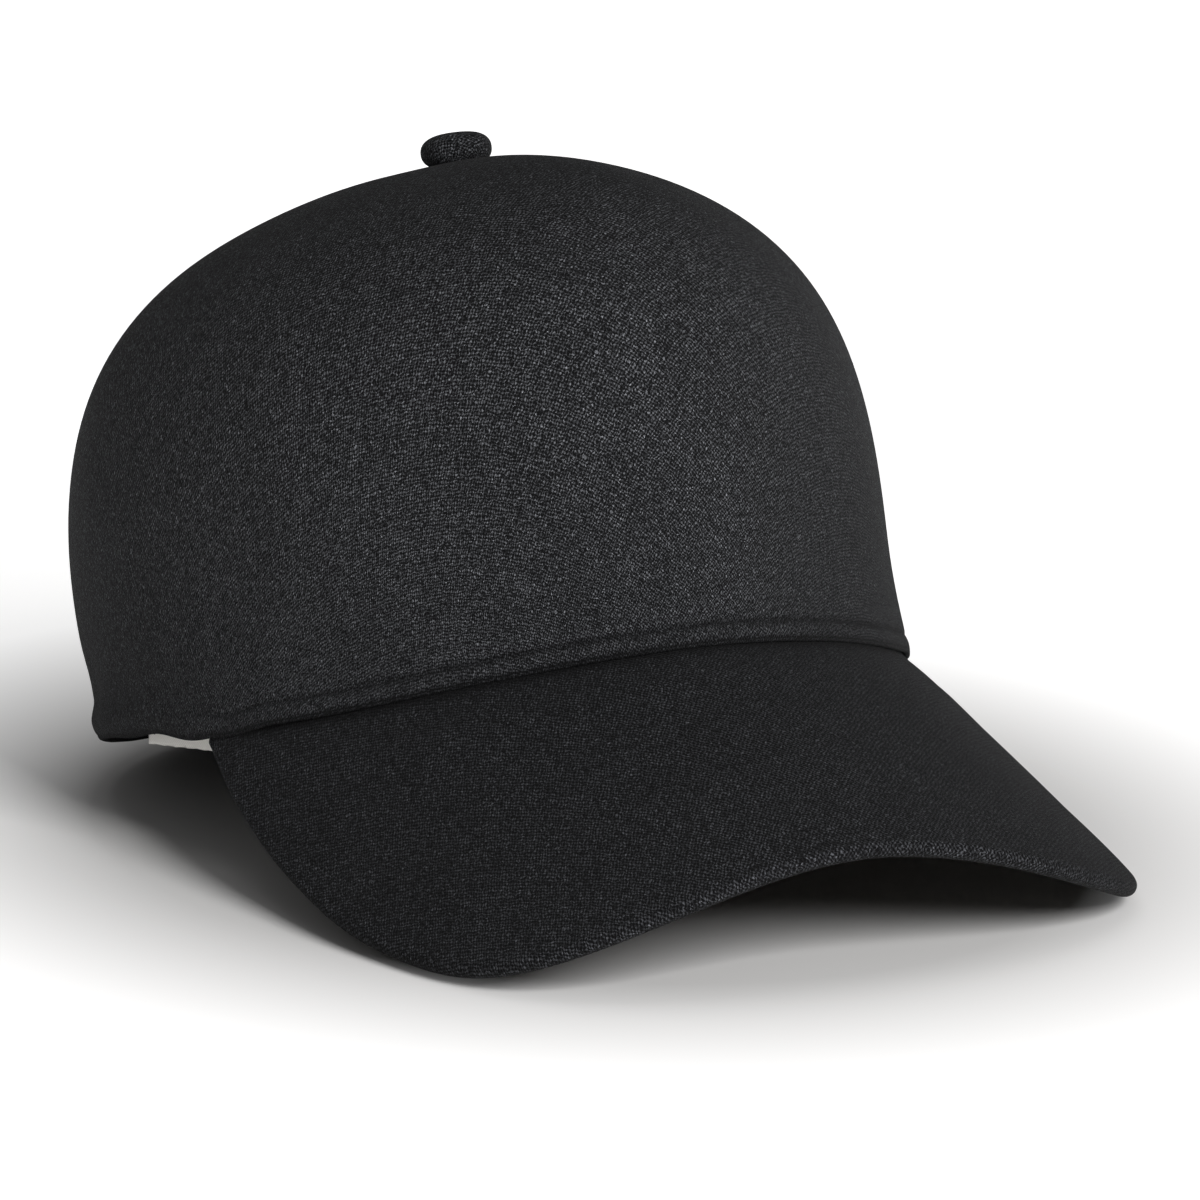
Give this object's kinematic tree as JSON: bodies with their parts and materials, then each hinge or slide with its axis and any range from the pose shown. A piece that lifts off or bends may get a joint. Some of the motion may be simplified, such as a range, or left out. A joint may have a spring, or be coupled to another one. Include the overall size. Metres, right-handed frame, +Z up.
{
  "type": "bump cap",
  "caption": "Baseball-style bump cap: a seamless knit cap with an arched brim over a removable hard shell with foam pads.",
  "frame": {"origin": "on the table the cap rests on, at the centre of its footprint, on its plane of symmetry", "axes": "+Z up, -Y forwards towards the brim, +X the wearer's left; the cap's own axis is tipped back 15 degrees as it stands"},
  "size_m": [0.1822, 0.2987, 0.1489],
  "materials": {
    "knit": "matte charcoal pique knit",
    "lining": "dark brushed lining",
    "sweatband": "woven sweatband tape",
    "interlining": "white buckram",
    "label": "off-white woven satin, blank",
    "hook_loop": "black hook-and-loop tape",
    "foam": "closed-cell foam",
    "elastic": "elastic tape",
    "board": "bare polyethylene",
    "shell": "moulded, fine texture",
    "button_metal": "plated pressing"
  },
  "bodies": {
    "insert": {"impact_shell": "shell", "crown_pad": "foam", "front_pad": "foam", "rear_pad": "foam", "left_pad": "foam", "right_pad": "foam", "hook_front": "hook_loop", "hook_left": "hook_loop", "hook_rear": "hook_loop", "hook_right": "hook_loop"},
    "cover": {"crown_cover": "knit", "front_interlining": "interlining", "sweatband": "sweatband", "sweatband_foam": "foam", "hem_elastic": "elastic", "button_cover": "knit", "button_core": "button_metal", "button_rivet": "button_metal", "button_washer": "button_metal", "loop_front": "hook_loop", "loop_left": "hook_loop", "loop_rear": "hook_loop", "loop_right": "hook_loop"},
    "brim": {"brim_board": "board", "brim_top_cover": "knit", "brim_under_cover": "lining"},
    "label": {"care_label": "label"}
  },
  "joints": [
    {"name": "insert_release", "type": "slide", "parent": "insert", "child": "cover", "axis": [0, 0.2588, 0.9659], "range_m": [0, 0.15], "stiffness_N_per_m": 20, "springref_m": -0.08},
    {"name": "brim_flex", "type": "hinge", "parent": "cover", "child": "brim", "pos_m": [0, 0.01125, 0.02834], "axis": [1, 0, 0], "range_deg": [-5, 5], "stiffness_Nm_per_rad": 1.5},
    {"name": "label_flap", "type": "hinge", "parent": "cover", "child": "label", "pos_m": [-0.07931, 0.03181, 0.05274], "axis": [0.2328, -0.9394, 0.2517], "range_deg": [0, 60]}
  ]
}
